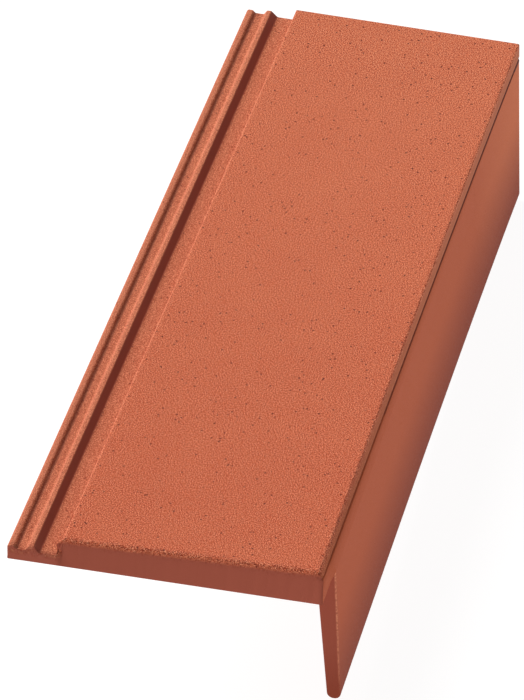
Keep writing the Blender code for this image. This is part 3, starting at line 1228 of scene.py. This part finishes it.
    def sew_lap(
        self, sewn: Patchwork, stations: np.ndarray, right: np.ndarray, fillet: np.ndarray,
        cap_row: np.ndarray,
    ) -> tuple[np.ndarray, np.ndarray]:
        """Sew the lap's front, its two faces and its tip.

        Args:
            sewn: The patchwork.
            stations: The rows' y beyond the nose's zone.
            right: Vertex numbers where the outer side meets the underside's level, from the lap's row on.
            fillet: Vertex numbers along the lap's fillet from the lap's row on.
            cap_row: Vertex numbers across the lap's root where the lap starts.

        Returns:
            Vertex numbers of the last row, down the outer face and down the inner face.
        """
        lap_stations = stations[len(stations) - len(fillet):]
        outlines = []
        for y in lap_stations:
            outer = Outline.through(self.lap.outer(self.verge, self.thickness, y, self.share(y)))
            inner = Outline.through(self.lap.inner(self.verge, self.thickness, self.share(y)))
            outlines.append((outer, inner))

        grids = []
        for side, (column, outward) in enumerate(((right, 1.0), (fillet, -1.0))):
            outline = outlines[0][side]
            edge = standing_at(outline.points, self.lap.setback)
            fronts = np.tile([0.0, -1.0, 0.0], (len(edge), 1))
            fade = smooth_step(0.0, self.lap.front_fade, -edge[:, 2] - self.thickness)
            radii = self.lap.front_radius * fade
            rows = [roll_edge(edge, outward * outline.normals(), fronts, radii, self.lap.front_steps)]
            for y, pair in zip(lap_stations[1:], outlines[1:]):
                rows.append(standing_at(pair[side].points, y)[None])
            grid = sewn.add(np.vstack(rows))
            rolled_rows = self.lap.front_steps + 1
            grid[:rolled_rows, 0] = column[0]
            grid[rolled_rows:, 0] = column[1:]
            grids.append(grid)
        outer_grid, inner_grid = grids
        inner_grid[:, -1] = outer_grid[:, -1]
        sewn.weave(outer_grid)
        sewn.weave(inner_grid)

        places = sewn.places()
        across = self.lap.steps_across
        cap = np.zeros((outer_grid.shape[1], across + 1), dtype=int)
        cap[0] = cap_row
        cap[:, 0] = outer_grid[0]
        cap[:, -1] = inner_grid[0]
        for row in range(1, len(cap) - 1):
            start, end = places[cap[row, 0]], places[cap[row, -1]]
            shares = np.linspace(0.0, 1.0, across + 1)[1:-1, None]
            cap[row, 1:-1] = sewn.add(start + (end - start) * shares)
        cap[-1] = cap[-1, 0]
        sewn.weave(cap)
        return outer_grid[-1], inner_grid[-1]

    def sew_head(self, sewn: Patchwork, ring: np.ndarray) -> None:
        """Round the head's edge and close it with a flat face.

        Args:
            sewn: The patchwork.
            ring: Vertex numbers round the whole section.
        """
        places = sewn.places()[ring]
        tangent = np.roll(places, -1, axis=0) - np.roll(places, 1, axis=0)
        tangent /= np.linalg.norm(tangent, axis=1, keepdims=True)
        outward = np.column_stack([-tangent[:, 2], np.zeros(len(ring)), tangent[:, 0]])
        off_groove = np.hypot(
            places[:, 0] - self.verge.width_at_head, places[:, 2] + self.verge.band_height_at_head
        )
        clear = smooth_step(*self.head_off_groove, off_groove)
        radii = between(self.head_radius_at_groove, self.head_radius, clear)[:, None]
        rows = [ring]
        for step in range(1, self.head_steps + 1):
            angle = 0.5 * math.pi * step / self.head_steps
            moved = places - outward * radii * (1.0 - math.cos(angle))
            moved[:, 1] += self.head_radius * math.sin(angle)
            rows.append(sewn.add(moved))
        sewn.weave(np.array([np.append(row, row[0]) for row in rows]))
        sewn.add_face(tuple(rows[-1]))

    def behind_nose(self, points: np.ndarray) -> np.ndarray:
        """How far each point lies behind the nose's face, in millimetres."""
        x, y, z = points.T
        return y - self.nose.front(x, np.minimum(z, 0.0), self.thickness, self.verge)

    def tear(self, points: np.ndarray) -> tuple[np.ndarray, np.ndarray]:
        """Find how torn the concrete is at each point, and how deep the tear goes.

        Args:
            points: Points of the skin, in millimetres.

        Returns:
            Shares from 0 to 1, and depths in millimetres.
        """
        edges = self.torn
        x, _, z = points.T
        behind = self.behind_nose(points)
        on_top = smooth_step(*edges.beside_wall, x - self.interlock.width)
        off_nose = np.hypot(behind, edges.nose_drop_weight * z)
        nose = on_top * (1.0 - smooth_step(*edges.nose_run, off_nose))
        flare = self.flares(points)
        verge = 1.0 - smooth_step(*edges.verge_run, np.hypot(x - self.verge.arris(flare), z))
        verge *= between(edges.verge_left_at_head, 1.0, smooth_step(*edges.verge_flare, flare))
        lip = (1.0 - on_top) * (1.0 - smooth_step(*edges.lip_run, np.maximum(behind, 0.0)))
        lip *= smooth_step(*edges.lip_heights, z) * smooth_step(*edges.lip_from_edge, x)
        face = smooth_step(*edges.face_from_foot, z + self.thickness) * (behind < edges.face_reach)

        shares = np.array([nose, verge, lip, face])
        busy = np.flatnonzero((shares > edges.least).any(axis=0))
        patterns = (edges.teeth, edges.crumbs, edges.clods, edges.streaks)
        teeth, crumbs, clods, streaks = (pattern.at(points[busy]) for pattern in patterns)
        nose, verge, lip, face = shares[:, busy]
        torn = np.zeros(len(points))
        depth = np.zeros(len(points))
        bites = (
            (nose * edges.nose_depth, teeth * (edges.evenness + edges.nose_lumps * clods), edges.deepest),
            (verge * edges.verge_depth, crumbs * (edges.evenness + clods) - edges.verge_whole, edges.deepest),
            (lip * edges.lip_depth, crumbs * edges.lip_gain - edges.lip_whole, edges.deepest),
            (face * edges.face_depth, streaks, 1.0),
        )
        depth[busy] = sum(reach * np.clip(bite, 0.0, most) for reach, bite, most in bites)
        torn[busy] = np.clip(nose + edges.verge_torn * verge + lip, 0.0, 1.0)
        return torn, depth

    def burr(self, points: np.ndarray) -> np.ndarray:
        """Say how far each point is dragged over the channel with the burr on its wall, from 0 to 1."""
        x, y, z = points.T
        inside = np.maximum(x - self.interlock.width, 0.0) / self.torn.burr_root
        level = (z + self.torn.burr_drop) / self.torn.burr_reach
        behind = np.maximum(y - self.torn.burr_back, 0.0) / self.torn.burr_end
        dragged = np.exp(-(inside**2) - level**2 - behind**2)
        by_wall = x > self.interlock.width - self.torn.burr_from_wall
        return dragged * by_wall * (z > self.torn.burr_off_floor - self.interlock.channel_drop)

    def above_foot(self, points: np.ndarray) -> np.ndarray:
        """Tell the points above the slab's lower edge from those of the underside and the lap."""
        return points[:, 2] > self.runs.foot - self.thickness

    def lap_front(self, points: np.ndarray) -> np.ndarray:
        """Say how much each point lies at or before the lap's front, from 0 to 1."""
        behind = points[:, 1] - self.lap.setback
        return 1.0 - smooth_step(self.runs.lap_front_starts, self.lap.front_radius, behind)

    def cut(self, points: np.ndarray) -> np.ndarray:
        """Say how much each point lies on a face that was cut or struck off, or on the inner bar's flank,
        which takes its darker colour as painted shade, from 0 to 1.
        """
        x, y, z = points.T
        off_wall = x - self.interlock.width
        burr = (off_wall > self.runs.cut_beside_wall[0]) & (off_wall < self.runs.cut_beside_wall[1])
        burr &= z > self.runs.cut_off_floor - self.interlock.channel_drop
        burr &= y < self.torn.burr_back + self.runs.cut_behind_burr
        nose = np.maximum(1.0 - smooth_step(*self.runs.cut_behind_nose, self.behind_nose(points)), burr)
        nose *= 1.0 - smooth_step(*self.runs.cut_heights, z)
        lap = self.lap_front(points) * smooth_step(*self.runs.cut_below_slab, -z - self.thickness)
        # The inner bar's flank takes the cut faces' darker colour as painted shade.
        return np.maximum(np.maximum(nose, lap), self.flank(points))

    def flank(self, points: np.ndarray) -> np.ndarray:
        """Say how much each point lies on the inner bar's flank, from 0 to 1."""
        start, end = self.interlock.shaded_flank
        blur = self.runs.flank_blur
        flank = smooth_step(start - blur, start + blur, points[:, 0])
        flank *= 1.0 - smooth_step(end - blur, end + blur, points[:, 0])
        return flank * self.above_foot(points)

    def moulded(self, points: np.ndarray) -> np.ndarray:
        """Say how much each point was shaped by the mould and not by the extruder, from 0 to 1."""
        flare = self.flares(points)
        below = -points[:, 2] - self.verge.band_height(flare)
        beside = smooth_step(*self.runs.moulded_beside, points[:, 0] - self.verge.arris(flare))
        under = 1.0 - smooth_step(*self.runs.moulded_under, points[:, 2] + self.thickness)
        return np.maximum(beside * smooth_step(*self.runs.moulded_below_band, below), under)

    def slid(self, points: np.ndarray) -> np.ndarray:
        """Say how much each point of the interlock was closed by the sliding die, from 0 to 1."""
        inside = 1.0 - smooth_step(*self.runs.slid_beside_wall, points[:, 0] - self.interlock.width)
        return self.runs.slid_share * inside * self.above_foot(points)

    def painted_foot_shade(self, points: np.ndarray) -> np.ndarray:
        """Say how much painted shade darkens each point of the lap, from 0 to 1 at its foot, and a little on
        its front.
        """
        drop = -points[:, 2]
        start, end = self.runs.painted_foot_shade_drops
        front = self.lap_front(points) * smooth_step(*self.runs.painted_foot_shade_below_slab, drop - self.thickness)
        down = np.clip((drop - start) / (end - start), 0.0, 1.0)
        return np.maximum(down, self.runs.painted_foot_shade_at_front * front)

    def groove(self, points: np.ndarray) -> np.ndarray:
        """Say how much painted shade darkens the groove at each point, inside it and on its lower lip, from 0
        to 1.
        """
        runs = self.runs
        flare = self.flares(points)
        inside = self.verge.arris(flare) + self.verge.band_run_at_nose * flare - points[:, 0]
        drop = -points[:, 2] - self.verge.band_height(flare)
        half = 0.5 * self.verge.groove_width(flare)
        bed = smooth_step(*runs.groove_in, inside) * (inside < runs.groove_reach) * (np.abs(drop) < half)
        lip = (drop > 0.0) & (drop < half + runs.groove_lip_margin) & (np.abs(inside) < runs.groove_lip)
        shade = np.maximum(
            bed * between(1.0, runs.groove_at_nose, flare), lip * between(1.0, runs.groove_lip_at_nose, flare)
        )
        kept = runs.groove_kept_at_head * (flare < runs.groove_flare_at_head)
        return shade * np.clip(self.verge.open_groove(flare) + kept, 0.0, 1.0)

    def painted_shade(self, points: np.ndarray) -> np.ndarray:
        """Say how much painted shade darkens each point in the groove, in the valley's corner or on the inner
        bar's flank.
        """
        valley = self.interlock.outer_bar_width + self.interlock.bar_flank
        line = 1.0 - smooth_step(*self.runs.valley_line, np.abs(points[:, 0] - valley))
        line *= self.runs.valley_shade * self.above_foot(points)
        shade = np.maximum(self.runs.flank_shade * self.flank(points), line)
        shade *= smooth_step(*self.runs.shade_behind_nose, self.behind_nose(points))
        return np.maximum(self.groove(points), shade)

    def struck(self, points: np.ndarray) -> np.ndarray:
        """Say how much each point lies on the band that the die struck smooth, from 0 to 1."""
        flare = self.flares(points)
        drop = -points[:, 2]
        beside = smooth_step(*self.runs.struck_beside, points[:, 0] - self.verge.arris(flare))
        level = smooth_step(*self.runs.struck_below, drop) * (drop < self.verge.band_height(flare))
        return beside * level * between(1.0, self.runs.struck_at_nose, flare)

    def painted_highlight(self, points: np.ndarray) -> np.ndarray:
        """Say how much a painted highlight lightens each point of the lap's front arris, the wall's top and
        the bars' crests, from 0 to 1.
        """
        runs = self.runs
        setback = self.lap.setback
        root, _, tip, _ = self.lap.outer(self.verge, self.thickness, setback, self.share(setback))
        x, y, z = points.T
        arris = between(root.x, tip.x, (z - root.z) / (tip.z - root.z))
        arris_highlight = 1.0 - smooth_step(runs.painted_highlight_starts, self.lap.front_radius, np.hypot(x - arris, y - setback))
        arris_highlight *= smooth_step(*runs.painted_highlight_below_slab, -z - self.thickness)
        arris_highlight *= smooth_step(tip.z, tip.z + runs.painted_highlight_off_tip, z)
        off_wall_top = np.hypot(x - self.interlock.width - runs.wall_top_inset, z)
        wall_top = 1.0 - smooth_step(*runs.wall_top_run, off_wall_top)
        crest = z > -runs.crest_margin - self.interlock.outer_bar_drop
        crest &= x < self.interlock.shaded_flank[0] + runs.crest_margin
        return np.maximum(np.maximum(arris_highlight, runs.wall_top_share * wall_top), runs.crest_share * crest)

    def build(self, origin: Vector) -> bpy.types.Object:
        """Build the casting as one object.

        Args:
            origin: Place of the tile's own origin in the frame, in metres.

        Returns:
            The finished piece.
        """
        sewn = self.skin()
        skin = bmesh.new()
        verts = [skin.verts.new(point) for point in sewn.places()]
        used: set[int] = set()
        for face in sewn.faces:
            skin.faces.new([verts[number] for number in face])
            used.update(face)
        bmesh.ops.delete(skin, geom=[v for n, v in enumerate(verts) if n not in used], context="VERTS")
        bmesh.ops.recalc_face_normals(skin, faces=skin.faces)
        open_edges = sum(1 for edge in skin.edges if len(edge.link_faces) != 2)
        LOG.info("skin: %d vertices, %d faces, %d open edges", len(skin.verts), len(skin.faces), open_edges)

        skin.normal_update()
        points = np.array([vert.co for vert in skin.verts])
        normals = np.array([vert.normal for vert in skin.verts])
        _, depth = self.tear(points)
        moved = points - normals * depth[:, None]
        moved[:, 0] -= self.torn.burr_width * self.burr(points)
        moved[:, 0] = np.maximum(moved[:, 0], 0.0)
        moved[:, 2] = np.minimum(moved[:, 2], 0.0)
        for vert, point in zip(skin.verts, moved):
            vert.co = point
        piece = self.as_object(skin, "tile_casting")
        self.join_underside(piece)

        mesh = piece.data
        points = np.empty(3 * len(mesh.vertices))
        mesh.vertices.foreach_get("co", points)
        points = points.reshape(-1, 3)
        torn, _ = self.tear(points)
        masks = {
            Mask.TORN: torn,
            Mask.CUT: self.cut(points),
            Mask.MOULDED: self.moulded(points),
            Mask.PAINTED_FOOT_SHADE: self.painted_foot_shade(points),
            Mask.SEAM: self.painted_shade(points),
            Mask.PAINTED_HIGHLIGHT: self.painted_highlight(points),
            Mask.STRUCK: self.struck(points),
            Mask.SLID: self.slid(points),
        }
        for mask, values in masks.items():
            layer = mesh.attributes.new(mask.value, "FLOAT", "POINT")
            layer.data.foreach_set("value", values.astype(np.float32))
        mesh.vertices.foreach_set("co", (points * MM + np.array(origin)).ravel())
        mesh.shade_smooth()
        mesh.set_sharp_from_angle(angle=self.sharp_angle)
        mesh.materials.append(self.finish.material())
        mesh.update()
        return piece

    def as_object(self, shells: bmesh.types.BMesh, name: str) -> bpy.types.Object:
        """Turn a mesh in the making into an object of the scene."""
        wide = [face for face in shells.faces if len(face.verts) > 4]
        bmesh.ops.triangulate(shells, faces=wide, ngon_method="EAR_CLIP")
        mesh = bpy.data.meshes.new(name)
        shells.to_mesh(mesh)
        shells.free()
        made = bpy.data.objects.new(name, mesh)
        bpy.context.scene.collection.objects.link(made)
        return made

    def join_underside(self, piece: bpy.types.Object) -> None:
        """Join the nibs and ribs to the skin with one exact union."""
        right_wall = self.verge.root(0.0) - self.lap.root_thickness
        shells = bmesh.new()
        for block in self.underside.blocks(self.length, self.thickness, self.interlock.width, right_wall):
            block.add_to(shells)
        tool = self.as_object(shells, "underside_blocks")
        union = piece.modifiers.new("underside", "BOOLEAN")
        union.operation = "UNION"
        union.solver = "EXACT"
        union.object = tool
        shown = piece.evaluated_get(bpy.context.evaluated_depsgraph_get())
        joined = bpy.data.meshes.new_from_object(shown)
        piece.modifiers.clear()
        skin, piece.data = piece.data, joined
        bpy.data.meshes.remove(skin)
        bpy.data.objects.remove(tool)


@dataclass(frozen=True)
class StudioFloor:
    """Matt white studio floor, lit through from below. The eye sees white with a faint soft shadow."""

    name: str = "studio_floor_matt_white"
    colour: str = "#707070"
    glow: float = 0.93
    roughness: float = 0.95

    def material(self) -> bpy.types.Material:
        """Build the node material."""
        made = bpy.data.materials.new(self.name)
        made.use_nodes = True
        shader = made.node_tree.nodes["Principled BSDF"]
        shader.inputs["Base Color"].default_value = linear(self.colour)
        shader.inputs["Roughness"].default_value = self.roughness
        shader.inputs["Emission Color"].default_value = (1.0, 1.0, 1.0, 1.0)
        shader.inputs["Emission Strength"].default_value = self.glow
        return made


@dataclass(frozen=True)
class Studio:
    """The floor, the lights and the camera, in metres and degrees."""

    floor_gap: float = 0.0005
    floor_size: float = 12.0
    floor: StudioFloor = field(default_factory=StudioFloor)
    key_from: tuple[float, float, float] = (-0.68, 0.18, 0.71)
    key_strength: float = 3.6
    key_angle: float = 50.0
    # Strength of the room's light by the height of its direction: pale walls, then a dim ceiling
    room_light: Span = Span(0.12, 0.5, 0.9, 0.15, Blend.SOFT)
    azimuth: float = 14.653
    elevation: float = 37.837
    distance: float = 4.5514
    target: tuple[float, float, float] = (-0.008526, -0.1630, -0.028409)
    focal_length: float = 507.4
    sensor: float = 36.0
    clip_end: float = 20.0

    def build(self, lowest: float) -> None:
        """Build the studio round the tile.

        Args:
            lowest: Height of the tile's lowest point.
        """
        self.lay_floor(lowest - self.floor_gap)
        self.hang_lights()
        self.place_camera()
        bpy.context.scene.view_settings.view_transform = "Standard"

    def lay_floor(self, height: float) -> None:
        """Lay the floor at a height."""
        mesh = bpy.data.meshes.new("studio_floor")
        half = 0.5 * self.floor_size
        corners = [(-half, -half, height), (half, -half, height), (half, half, height), (-half, half, height)]
        mesh.from_pydata(corners, [], [(0, 1, 2, 3)])
        mesh.materials.append(self.floor.material())
        floor = bpy.data.objects.new("studio_floor", mesh)
        bpy.context.scene.collection.objects.link(floor)

    def hang_lights(self) -> None:
        """Hang the soft key light, and light the room with pale walls under a dim ceiling."""
        lamp = bpy.data.lights.new("key_light", "SUN")
        lamp.energy = self.key_strength
        lamp.angle = math.radians(self.key_angle)
        key = bpy.data.objects.new("key_light", lamp)
        key.rotation_euler = Vector(self.key_from).to_track_quat("Z", "Y").to_euler()
        bpy.context.scene.collection.objects.link(key)
        world = bpy.data.worlds.new("pale_room")
        world.use_nodes = True
        tree = world.node_tree
        direction = add_node(tree, "ShaderNodeTexCoord")
        height = add_node(tree, "ShaderNodeSeparateXYZ", {}, {0: direction.outputs["Generated"]})
        strength = add_node(
            tree, "ShaderNodeMapRange", self.room_light.settings(), {"Value": height.outputs["Z"]}
        )
        room = tree.nodes["Background"]
        room.inputs["Color"].default_value = (1.0, 1.0, 1.0, 1.0)
        tree.links.new(strength.outputs["Result"], room.inputs["Strength"])
        bpy.context.scene.world = world

    def place_camera(self) -> None:
        """Place the camera at the photograph's viewing angle."""
        azimuth, elevation = math.radians(self.azimuth), math.radians(self.elevation)
        toward_camera = Vector((
            math.sin(azimuth) * math.cos(elevation),
            -math.cos(azimuth) * math.cos(elevation),
            math.sin(elevation),
        ))
        data = bpy.data.cameras.new("camera")
        data.sensor_width = self.sensor
        data.lens = self.focal_length
        data.clip_end = self.clip_end
        camera = bpy.data.objects.new("camera", data)
        camera.location = Vector(self.target) + toward_camera * self.distance
        camera.rotation_euler = toward_camera.to_track_quat("Z", "Y").to_euler()
        bpy.context.scene.collection.objects.link(camera)
        bpy.context.scene.camera = camera


def main() -> None:
    """Load the frame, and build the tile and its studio."""
    logging.basicConfig(level=logging.INFO, format="%(name)s: %(message)s")
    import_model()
    low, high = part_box(NODE)
    LOG.info("frame loaded, solid from %s to %s", tuple(low), tuple(high))

    casting = TileCasting().build(Vector((low.x, low.y, high.z)))
    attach(casting, BODY)
    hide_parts(NODE)
    LOG.info("built %s with %d faces", casting.name, len(casting.data.polygons))

    Studio().build(low.z)
    LOG.info("built the studio")


if __name__ == "__main__":
    main()
